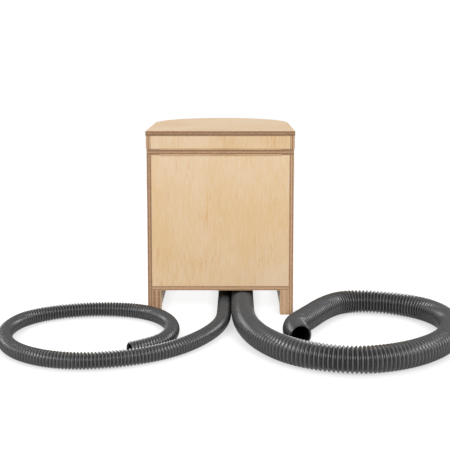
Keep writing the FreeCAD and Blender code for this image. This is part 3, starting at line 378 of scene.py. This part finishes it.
def tone(red, green, blue):
    """A screen colour as light: its share of white over the slope, or offset and raised to the power."""
    share = np.array([red, green, blue]) / SCREEN_WHITE
    curve = ((share + CURVE_OFFSET) / (1 + CURVE_OFFSET)) ** CURVE_POWER
    linear = np.where(share <= FOOT_END, share / FOOT_SLOPE, curve)
    return (*linear.tolist(), 1.0)


print("colours: the dark grey 64 of a screen is", round(tone(64, 64, 64)[0], 3), "as light")

# %% [markdown]
# ## Small steps of a material
#
# Each finish below needs the same few steps: start a material, take a point apart, link a result to the
# shader and put the material on a piece. Written out each time, they would hide what the finish is. With a
# short function for each step, a material reads as a recipe.

# %% Small steps of a material


def new_material(name):
    """A material with its main shader, its object coordinates and its object normal."""
    material = bpy.data.materials.new(name)
    material.use_nodes = True
    tree = material.node_tree
    shader = tree.nodes["Principled BSDF"]
    coords = tree.nodes.new("ShaderNodeTexCoord")
    return material, shader, Shade(tree, coords.outputs["Object"]), Shade(tree, coords.outputs["Normal"])


def split(vector):
    """The three parts of a vector."""
    return [vector.node("ShaderNodeSeparateXYZ", {0: vector}, axis) for axis in range(3)]


def connect(shader, **inputs):
    """Links sockets to the shader's inputs, whose names are given with underscores."""
    for name, value in inputs.items():
        value.tree.links.new(value.socket, shader.inputs[name.replace("_", " ")])


def dress(piece, material):
    """Gives a piece one material in place of those that it had."""
    piece.data.materials.clear()
    piece.data.materials.append(material)


print("small steps: start, split, connect and dress")

# %% [markdown]
# ## Floor
#
# The toilet stands on plain white ground with no edge and no horizon. A paper sweep that curves up behind
# it could give that, but it would block the views from the other side. So the floor is a flat sheet that
# turns clear far from the toilet. To the camera, and in reflections, it has a glow that brings it to
# white, so the light on the toilet can stay plain. The sheet itself is grey and takes the shadows. Close
# to the hoses and the runners, where little of the sky is open, the glow is made weaker: a painted
# contact shadow.

# %% Floor
FLOOR_HALF = 2.4
FLOOR_DROP = 0.0004
FLOOR_FADE = (1.3, 2.2)
FLOOR_GREY = tone(150, 150, 150)
FLOOR_ROUGH = 0.9
FLOOR_SHEEN = 0.1
FLOOR_GLOW = 0.92
# Reach, depth and ray samples of the painted contact shadow on the floor
PAINTED_SHADE_REACH = 0.035
PAINTED_SHADE_DEPTH = 0.4
PAINTED_SHADE_SAMPLES = 16
BLACK = (0.0, 0.0, 0.0, 1.0)
WHITE = (1.0, 1.0, 1.0, 1.0)


def backdrop_rays(tree):
    """1 on rays that show the backdrop: straight from the camera, mirrored or through glass."""
    rays = tree.nodes.new("ShaderNodeLightPath")
    straight = Shade(tree, rays.outputs["Is Camera Ray"])
    mirrored = Shade(tree, rays.outputs["Is Glossy Ray"])
    through = Shade(tree, rays.outputs["Is Transmission Ray"])
    return straight.math("MAXIMUM", straight.math("MAXIMUM", straight, mirrored), through)


def paper(name):
    """Grey in the light, with a glow that brings it to white, and clear beyond the fade.

    The glow is one less a painted contact shadow, which grows with the share of the sky that is hidden
    close by.
    """
    material, shader, point, _ = new_material(name)
    x, y, _ = split(point)
    connect(shader, Alpha=1 - ((x * x + y * y) ** 0.5).step(*FLOOR_FADE))
    # Painted contact shadow: the glow dims where the sky is hidden close by
    reach = {"Distance": PAINTED_SHADE_REACH}
    open_share = point.node("ShaderNodeAmbientOcclusion", reach, "AO", samples=PAINTED_SHADE_SAMPLES)
    painted_contact_shade = (1 - open_share) * PAINTED_SHADE_DEPTH
    connect(shader, Emission_Color=(backdrop_rays(point.tree) * (1 - painted_contact_shade)).blend(BLACK, WHITE))
    shader.inputs["Emission Strength"].default_value = FLOOR_GLOW
    shader.inputs["Base Color"].default_value = FLOOR_GREY
    shader.inputs["Roughness"].default_value = FLOOR_ROUGH
    shader.inputs["Specular IOR Level"].default_value = FLOOR_SHEEN
    return material


corners = [(x * FLOOR_HALF, y * FLOOR_HALF, -FLOOR_DROP) for x, y in ((-1, -1), (1, -1), (1, 1), (-1, 1))]
floor = make_mesh("floor", corners, [(0, 1, 2, 3)])
dress(floor, paper("paper"))
print("floor:", 2 * FLOOR_HALF, "m wide, clear from", FLOOR_FADE[1], "m out")

# %% [markdown]
# ## Lamps
#
# Large lamps give soft shadows and long soft highlights on the ribs. A sun lamp would give one hard shadow,
# and sky light alone would give almost none. So four square lamps stand around the toilet. The pair behind
# it lights the rear panel and the hoses, a little stronger from the right, and the weaker pair in front is
# for the views of the round front.

# %% Lamps
REAR_TARGET = (0, 0.1, 0.2)
FRONT_TARGET = (0, 0, 0.2)
LAMPS = {
    "rear_left": {"place": (3.5, 6.0, 4.2), "target": REAR_TARGET, "size": 2.4, "power": 252},
    "rear_right": {"place": (-3.5, 6.0, 4.0), "target": REAR_TARGET, "size": 2.4, "power": 311},
    "front_left": {"place": (4.0, -3.6, 2.0), "target": FRONT_TARGET, "size": 2.8, "power": 116},
    "front_right": {"place": (-4.0, -3.6, 2.0), "target": FRONT_TARGET, "size": 2.8, "power": 116},
}


def soft_light(name, place, target, size, power):
    """A square lamp that faces a target, with its size in metres and its power in watts."""
    lamp = bpy.data.lights.new(name, "AREA")
    lamp.size = size
    lamp.energy = power
    thing = bpy.data.objects.new(name, lamp)
    thing.location = place
    aim = thing.location - Vector(target)
    thing.rotation_euler = aim.to_track_quat("Z", "Y").to_euler()
    bpy.context.scene.collection.objects.link(thing)


for name, lamp in LAMPS.items():
    soft_light(name, **lamp)
print("lamps:", len(LAMPS), "with", sum(lamp["power"] for lamp in LAMPS.values()), "W in all")

# %% [markdown]
# ## Sky
#
# The world is the white behind the toilet, and it also fills the shadows from all sides. One strength can't
# serve both, because a sky of full white would wash the shadows out. A picture of a studio could light the
# scene, but plain light needs none. So rays that show the backdrop find a white sky, and all others find a
# dim one.

# %% Sky
SKY_LEVEL = 0.22

world = bpy.data.worlds.new("studio")
world.use_nodes = True
bpy.context.scene.world = world
sky = world.node_tree.nodes["Background"]
shown = backdrop_rays(world.node_tree)
brightness = shown * (1.0 - SKY_LEVEL) + SKY_LEVEL
world.node_tree.links.new(brightness.socket, sky.inputs["Strength"])
sky.inputs["Color"].default_value = WHITE

bpy.context.scene.view_settings.view_transform = "Standard"
print("sky: strength", SKY_LEVEL, "for all but the backdrop")

# %% [markdown]
# ## How a board lies
#
# Every board has a thickness, and its face grain runs one way: upright on the panels, from side to side on
# the lid and the deck. The front shell and the hood's front rim are bent round an upright axis. Unwrapped
# UV maps could carry these directions, but each board would need its own unwrapping. The pieces' own
# coordinates already hold them, so each board names two axes, and a bent one measures its width along the
# bend.

# %% How a board lies
_, shell_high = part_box("front_shell")
FRONT_CENTRE = shell_high.y


def board_place(point, normal, across, grain):
    """Width, length along the grain and depth at a point, and how far the surface faces depth and length.

    On a bent board the depth is the distance from its axis, and the width is the angle times that.
    """
    x, y, z = split(point)
    nx, ny, nz = split(normal)
    if across == "round":
        ahead = y - FRONT_CENTRE
        radius = (x * x + ahead * ahead) ** 0.5
        turn = x.math("ARCTAN2", x, ahead)
        facing = abs((nx * x + ny * ahead) / radius)
        return (turn * radius, z, radius), facing, abs(nz)
    parts = {"x": (x, nx), "y": (y, ny), "z": (z, nz)}
    wide = next(axis for axis in "xyz" if axis not in (across, grain))
    depth, facing = parts[across]
    length, end_on = parts[grain]
    return (parts[wide][0], length, depth), abs(facing), abs(end_on)


print("bent boards: axis at y =", round(FRONT_CENTRE, 4), "m")

# %% [markdown]
# ## Patterns in the wood
#
# Birch veneer is quiet but never even. It has wide clouds, narrow streaks, fine fibres, and a few veins in
# patches, and its cut edges show pores. A picture of wood would repeat from board to board. Noise that is
# stretched along the grain never repeats, and a seed of its own moves it on for each board.

# %% Patterns in the wood
ACROSS, ALONG, THROUGH = range(3)
# Cells of noise in a metre across the grain, along it and through the board, and where the seed goes
PATTERNS = {
    "cloud": {"cells": (9, 6, 1), "moved": ACROSS, "detail": 3.0},
    "streak": {"cells": (190, 26, 20), "moved": ACROSS, "detail": 3.0, "rough": 0.6, "bend": 0.8},
    "fibre": {"cells": (520, 45, 60), "moved": ALONG},
    "vein": {"cells": (110, 6, 9), "moved": ACROSS, "bend": 1.2},
    "patch": {"cells": (16, 10, 9), "moved": ALONG},
    "pores": {"cells": (220, 220, 520), "moved": THROUGH, "detail": 3.0, "rough": 0.6},
}


def join(x, y, z):
    """A vector from its three parts."""
    return x.node("ShaderNodeCombineXYZ", {0: x, 1: y, 2: z})


def wood_pattern(place, seed, cells, moved, **looks):
    """Noise at the board's coordinates times the cells in a metre, one of them moved on by the seed."""
    spot = [part * count for part, count in zip(place, cells)]
    spot[moved] = spot[moved] + seed
    return join(*spot).noise(**looks)


print("wood patterns:", ", ".join(PATTERNS))

# %% [markdown]
# ## Face veneer
#
# The face of a board is a sheet of peeled birch, pale with a warm figure and a few orange flecks. One flat
# colour would look like plastic, and a strong grain would look like oak. So two close tones are mixed by
# clouds, streaks and fibres together, and the flecks are thin lines along the veins.

# %% Face veneer
VENEER_PALE = tone(240, 213, 180)
VENEER_WARM = tone(234, 199, 150)
VENEER_FLECK = tone(218, 150, 78)
# A burnt brown for saw burn, also used as painted shade on the boards
SCORCH_AND_SHADE_BROWN = tone(96, 62, 40)
FIGURE_SHARES = {"cloud": 0.5, "streak": 0.45, "fibre": 0.35}
FIGURE_RANGE = (0.47, 0.83)
VEIN_MIDDLE = 0.5
VEIN_HALF = 0.04
PATCH_RANGE = (0.45, 0.7)
FLECK_DEPTH = 0.42
SMOKE_AND_SHADE_DEPTH = 0.2


def birch_face(wood, scorch_and_shade):
    """Pale birch that turns warm where the figure is high, with flecks, saw smoke and painted shade.

    The figure is a weighted sum of clouds, streaks and fibres. A fleck is where the vein's noise is near
    its middle and the patch's noise is high. The smoke and shade is the clouds times the board's value for
    saw smoke and painted shade.
    """
    figure = sum(wood[kind] * share for kind, share in FIGURE_SHARES.items())
    birch = figure.step(*FIGURE_RANGE).blend(VENEER_PALE, VENEER_WARM)
    on_vein = 1 - abs(wood["vein"] - VEIN_MIDDLE).step(0.0, VEIN_HALF)
    fleck = on_vein * wood["patch"].step(*PATCH_RANGE)
    birch = (fleck * FLECK_DEPTH).blend(birch, VENEER_FLECK)
    # Saw smoke with painted shade: the clouds darken the face by the board's value
    smoke_and_shade = SMOKE_AND_SHADE_DEPTH * max(scorch_and_shade, 0)
    return (wood["cloud"] * smoke_and_shade).blend(birch, SCORCH_AND_SHADE_BROWN)


print("face veneer: figure from", ", ".join(FIGURE_SHARES))

# %% [markdown]
# ## Cut edges
#
# Where a board was sawn, its plies show as stripes: two thin outer ones and three thicker ones between. A
# ply that runs along the edge looks light and one that is cut across looks brown, and they change places
# where the edge turns from the side of the board to its end. The plies could be modelled as layers, but
# that is much geometry for stripes of three millimetres. A colour by depth gives the same stripes.

# %% Cut edges
PLY_LIGHT = tone(220, 182, 144)
PLY_DARK = tone(154, 112, 82)
PLY_GLUE = tone(100, 70, 50)
# Glue lines as shares of the thickness, with 1 where a cross ply begins and -1 where one ends
GLUE_LINES = {0.09: 1, 0.36: -1, 0.64: 1, 0.91: -1}
PLY_SOFT = 0.02
GLUE_HALF = 0.03
GLUE_DEPTH = 0.4
END_RANGE = (0.5, 0.8)
BROWN_DEPTH = 0.7
PORE_MIDDLE = 0.5
PORE_DEPTH = 1.1
BURN_PORES = 0.5
BURN_SCORCH_AND_SHADE = 0.75
BURN_RANGE = (0.2, 1.2)


def cut_edge(wood, share, end_on, scorch_and_shade):
    """Colour of the plies at a share of the thickness, and 1 where a ply is cut across.

    Cross plies lie between the first two glue lines and between the last two. On the end of the board
    the other plies are the ones cut across. Pores and the board's value together darken the edge, as saw
    burn and painted shade, and a value below zero makes the stripes paler, as painted light.
    """
    cross = sum(turn * share.step(line - PLY_SOFT, line + PLY_SOFT) for line, turn in GLUE_LINES.items())
    glue = sum(1 - abs(share - line).step(0.0, GLUE_HALF) for line in GLUE_LINES)
    brown = abs(cross - end_on.step(*END_RANGE))
    stripe = brown * min(BROWN_DEPTH, BROWN_DEPTH + scorch_and_shade) + (wood["pores"] - PORE_MIDDLE) * PORE_DEPTH
    plies = stripe.blend(PLY_LIGHT, PLY_DARK)
    plies = (glue * GLUE_DEPTH).blend(plies, PLY_GLUE)
    # Saw burn with painted shade on the edge, by pores and the board's value
    burn_and_shade = wood["pores"] * BURN_PORES + BURN_SCORCH_AND_SHADE * max(scorch_and_shade, 0)
    return burn_and_shade.step(*BURN_RANGE).blend(plies, SCORCH_AND_SHADE_BROWN), brown


print("cut edges:", len(GLUE_LINES) + 1, "plies")

# %% [markdown]
# ## Plywood
#
# Face and edge belong to the same board, so one material shows both. Two materials on a board would need
# its faces sorted by hand. Here the surface's own direction decides: what faces along the thickness is
# veneer, and the rest is cut edge. The wood has no gloss, so it is fairly rough, a little more so on the
# edges, and a shallow bump lets the fibres catch the light.

# %% Plywood
FACE_RANGE = (0.6, 0.85)
WOOD_ROUGH = 0.44
STREAK_ROUGH = 0.16
EDGE_ROUGH = 0.16
STRIPE_RELIEF = 0.6
WOOD_RELIEF = 0.00025
WOOD_BUMP = 0.25
WOOD_SHEEN = 0.35


def bump(height, distance, strength):
    """The normal of a surface that rises by the distance, in metres, as the height goes from 0 to 1."""
    return height.node("ShaderNodeBump", {"Height": height, "Distance": distance, "Strength": strength})


def plywood(name, across, grain, scorch_and_shade, low, thick, seed):
    """Birch ply for one board, by its thickness axis, its grain, and its saw burn with painted shade.

    The share of the thickness is the depth less where the board starts, over how thick it is.
    """
    material, shader, point, normal = new_material(name)
    place, facing, end_on = board_place(point, normal, across, grain)
    wood = {kind: wood_pattern(place, seed, **pattern) for kind, pattern in PATTERNS.items()}
    face = facing.step(*FACE_RANGE)
    edge = 1 - face
    plies, brown = cut_edge(wood, (place[THROUGH] - low) / thick, end_on, scorch_and_shade)
    connect(shader, Base_Color=face.blend(plies, birch_face(wood, scorch_and_shade)))
    connect(shader, Roughness=WOOD_ROUGH + wood["streak"] * STREAK_ROUGH + edge * EDGE_ROUGH)
    relief = wood["fibre"] * face + (wood["pores"] + brown * STRIPE_RELIEF) * edge
    connect(shader, Normal=bump(relief, WOOD_RELIEF, WOOD_BUMP))
    shader.inputs["Specular IOR Level"].default_value = WOOD_SHEEN
    return material


print("plywood: roughness from", WOOD_ROUGH, "to", round(WOOD_ROUGH + STREAK_ROUGH + EDGE_ROUGH, 2))

# %% [markdown]
# ## The boards
#
# Seventeen named pieces of the cabinet, the deck and the hood are plywood. They could share one material,
# but then all would have their thickness along one axis and the same figure. So a table names each
# board's thickness axis, its grain and one value for how brown it is: saw burn on its edges together with
# painted shade on boards that are to look less lit, and painted light below zero on the one to look more
# lit. The frame tells where the board starts and how thick it is. The bent boards are as thick as the side
# panels.

# %% The boards
# Thickness axis, grain axis, and saw burn with painted shade, turned to painted light below zero
BOARDS = {
    "lid_board": ("z", "x", 0.6),
    "seat_deck": ("z", "x", 0.47),
    "bottom_panel": ("z", "x", 0.1),
    "rear_panel": ("y", "z", 0.2),
    "rear_strip": ("y", "z", 0.7),
    "front_foot": ("y", "x", 0.2),
    "left_side_panel": ("x", "z", 0.25),
    "right_side_panel": ("x", "z", 0.42),
    "left_runner": ("x", "z", -0.4),
    "right_runner": ("x", "z", 0.32),
    "left_rim": ("x", "y", 0.2),
    "right_rim": ("x", "y", 0.2),
    "splice_battens": ("x", "z", 0.2),
    "rim_splices": ("x", "y", 0.2),
    "rear_corner_battens": ("y", "z", 0.2),
    "front_shell": ("round", "z", 0.3),
    "front_rim": ("round", "z", 0.3),
}
SEED_STEP = 3.7
side_low, side_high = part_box("left_side_panel")
BENT_THICK = side_high.x - side_low.x


def board_span(node, across):
    """Where a board's thickness starts, and the thickness."""
    low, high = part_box(node)
    if across == "round":
        return high.x - BENT_THICK, BENT_THICK
    axis = "xyz".index(across)
    return low[axis], high[axis] - low[axis]


for number, (node, (across, grain, scorch_and_shade)) in enumerate(BOARDS.items()):
    start, thick = board_span(node, across)
    dress(nodes[node], plywood(f"ply_{node}", across, grain, scorch_and_shade, start, thick, number * SEED_STEP))
print("boards:", len(BOARDS), "dressed, the bent ones", round(BENT_THICK, 4), "m thick")

# %% [markdown]
# ## Hose plastic
#
# The hoses are grey plastic with a soft sheen. Dust lightens them in places. The crests of the ribs are
# lighter, as scuffs and as a painted highlight, the grooves are darker as painted shade, and the bore is
# painted almost black as shade. Blender can find crests by the shape of the mesh, with the Pointiness
# output, but that depends on how fine the mesh is. The wall already carries the height of its ribs as an
# attribute, so the material reads that.

# %% Hose plastic
HOSE_GREY = tone(64, 64, 65)
HOSE_GROOVE_SHADE = tone(18, 18, 19)
HOSE_DUST = tone(74, 74, 75)
HOSE_SCUFF_AND_HIGHLIGHT = tone(100, 100, 101)
HOSE_BORE_SHADE = tone(18, 18, 18)
# Heights between which painted groove shade turns to rib, rib to scuffed and highlighted crest, and painted
# bore shade to wall
RIB_RANGE = (0.0, 0.7)
SCUFF_AND_HIGHLIGHT_RANGE = (0.8, 1.0)
BORE_RANGE = (-0.6, -0.1)
DUST_NOISE = {"scale": 38, "detail": 4.0, "rough": 0.6}
DUST_RANGE = (0.45, 0.8)
DUST_DEPTH = 0.35
SCUFF_AND_HIGHLIGHT_LEAST = 0.35
SCUFF_AND_HIGHLIGHT_DUST = 0.4
HOSE_ROUGH = 0.22
DUST_ROUGH = 0.1
HOSE_GRAIN = {"scale": 900}
HOSE_RELIEF = 0.0001
HOSE_BUMP = 0.1
HOSE_SHEEN = 0.5


def hose_plastic(name):
    """Painted groove shade and grey ribs by height, dust by noise, scuffs and painted highlight on crests,
    painted bore shade.
    """
    material, shader, point, _ = new_material(name)
    height = point.node("ShaderNodeAttribute", {}, "Fac", attribute_name="crest")
    dust = point.noise(**DUST_NOISE)
    grain = point.noise(**HOSE_GRAIN)
    # Painted shade in the grooves, by the height of the ribs
    body = height.step(*RIB_RANGE).blend(HOSE_GROOVE_SHADE, HOSE_GREY)
    body = (dust.step(*DUST_RANGE) * DUST_DEPTH).blend(body, HOSE_DUST)
    # Crests lighter: scuffs with a painted highlight
    body = (height.step(*SCUFF_AND_HIGHLIGHT_RANGE) * (SCUFF_AND_HIGHLIGHT_LEAST + dust * SCUFF_AND_HIGHLIGHT_DUST)).blend(body, HOSE_SCUFF_AND_HIGHLIGHT)
    # Painted shade: the whole bore is made near black
    connect(shader, Base_Color=height.step(*BORE_RANGE).blend(HOSE_BORE_SHADE, body))
    connect(shader, Roughness=HOSE_ROUGH + dust * DUST_ROUGH)
    connect(shader, Normal=bump(grain, HOSE_RELIEF, HOSE_BUMP))
    shader.inputs["Specular IOR Level"].default_value = HOSE_SHEEN
    return material


plastic = hose_plastic("hose_plastic")
for hose in (drain_hose, vent_hose):
    dress(hose, plastic)
print("hose plastic:", len(plastic.node_tree.nodes), "nodes, on both hoses")

# %% [markdown]
# ## Recipe for fittings
#
# The small pieces are brass hinges, zinc screws and clips, and plastics and rubber from a mould. Each could
# have a material built from nothing, but they differ only in numbers. So they share one recipe: a colour
# that drifts between two close tones, a sheen that drifts with it, and a fine grain in the surface.

# %% Recipe for fittings
DRIFT_NOISE = {"scale": 14, "detail": 3.0}
DRIFT_SHARE = 0.8
GRAIN_SHARE = 0.2
DRIFT_RANGE = (0.35, 0.7)
NOISE_MIDDLE = 0.5
DRIFT_ROUGH = 0.12
GRAIN_ROUGH = 0.06
GRAIN_BUMP = 0.3


def moulded(name, colour, other, rough, grain_size, relief, metal=0.0, coat=0.0):
    """A colour between two tones by a sum of drift and grain, and a roughness that varies with both."""
    material, shader, point, _ = new_material(name)
    drift = point.noise(**DRIFT_NOISE)
    grain = point.noise(1 / grain_size)
    mix = (drift * DRIFT_SHARE + grain * GRAIN_SHARE).step(*DRIFT_RANGE)
    connect(shader, Base_Color=mix.blend(colour, other))
    uneven = (drift - NOISE_MIDDLE) * DRIFT_ROUGH + (grain - NOISE_MIDDLE) * GRAIN_ROUGH
    connect(shader, Roughness=rough + uneven)
    connect(shader, Normal=bump(grain, relief, GRAIN_BUMP))
    shader.inputs["Metallic"].default_value = metal
    shader.inputs["Coat Weight"].default_value = coat
    return material


print("recipe for fittings: colour drifts over", round(1 / DRIFT_NOISE["scale"], 3), "m")

# %% [markdown]
# ## Dress the fittings
#
# Seven finishes cover all fittings. They could be given out by hand, piece by piece, but the model's record
# already says what every piece is made of. So the finishes are named as in the record, and each piece that
# asks for one of them gets it.

# %% Dress the fittings
# Two tones, roughness, then the size and the height of the grain in metres, and metal or coat if any
FINISHES = {
    "old_brass": {"colour": tone(216, 184, 142), "other": tone(204, 170, 126), "rough": 0.5,
                  "grain_size": 0.0006, "relief": 0.00005, "metal": 0.3},
    "zinc_steel": {"colour": tone(196, 198, 202), "other": tone(176, 178, 184), "rough": 0.34,
                   "grain_size": 0.0008, "relief": 0.00004, "metal": 1.0},
    "white_plastic": {"colour": tone(226, 226, 222), "other": tone(217, 218, 215), "rough": 0.26,
                      "grain_size": 0.0009, "relief": 0.00003, "coat": 0.3},
    "dark_bucket": {"colour": tone(58, 60, 62), "other": tone(48, 50, 52), "rough": 0.5,
                    "grain_size": 0.0012, "relief": 0.00012},
    "grey_pvc": {"colour": tone(128, 130, 132), "other": tone(118, 120, 123), "rough": 0.36,
                 "grain_size": 0.0010, "relief": 0.00005},
    "black_plastic": {"colour": tone(34, 34, 35), "other": tone(27, 27, 28), "rough": 0.46,
                      "grain_size": 0.0007, "relief": 0.00008},
    "soft_rubber": {"colour": tone(46, 45, 44), "other": tone(38, 37, 37), "rough": 0.7,
                    "grain_size": 0.0006, "relief": 0.0001},
}
fittings = {name: moulded(name, **finish) for name, finish in FINISHES.items()}
fitted = [row for row in frame["record"]["subparts"] if row["material_slot"] in fittings]
for row in fitted:
    dress(nodes[row["node"]], fittings[row["material_slot"]])
print("fittings:", len(fitted), "pieces in", len(fittings), "finishes")
